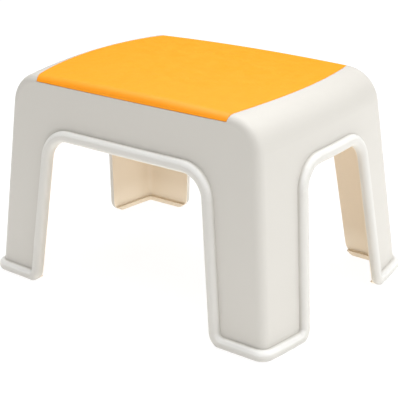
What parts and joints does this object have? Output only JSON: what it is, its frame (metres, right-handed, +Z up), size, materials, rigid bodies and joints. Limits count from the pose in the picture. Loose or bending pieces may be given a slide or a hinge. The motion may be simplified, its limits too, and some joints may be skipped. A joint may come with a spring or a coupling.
{
  "type": "step stool",
  "caption": "Low one-step stool: a moulded plastic shell on splayed legs with arched sides and a rounded rim, and a soft inlay set flush in its seat.",
  "frame": {"origin": "centre of the footprint, at floor level", "axes": "+X along the seat's length, +Y from the front to the back, +Z up"},
  "size_m": [0.36, 0.2566, 0.22],
  "materials": {
    "shell_plastic": "satin moulded polypropylene, off-white",
    "pad_plastic": "satin soft-touch, orange",
    "foot_rubber": "matt, off-white"
  },
  "bodies": {
    "root": {"stool_shell": "shell_plastic", "seat_inlay": "pad_plastic", "foot_pad_front_left": "foot_rubber", "foot_pad_front_right": "foot_rubber", "foot_pad_back_left": "foot_rubber", "foot_pad_back_right": "foot_rubber"}
  },
  "joints": []
}
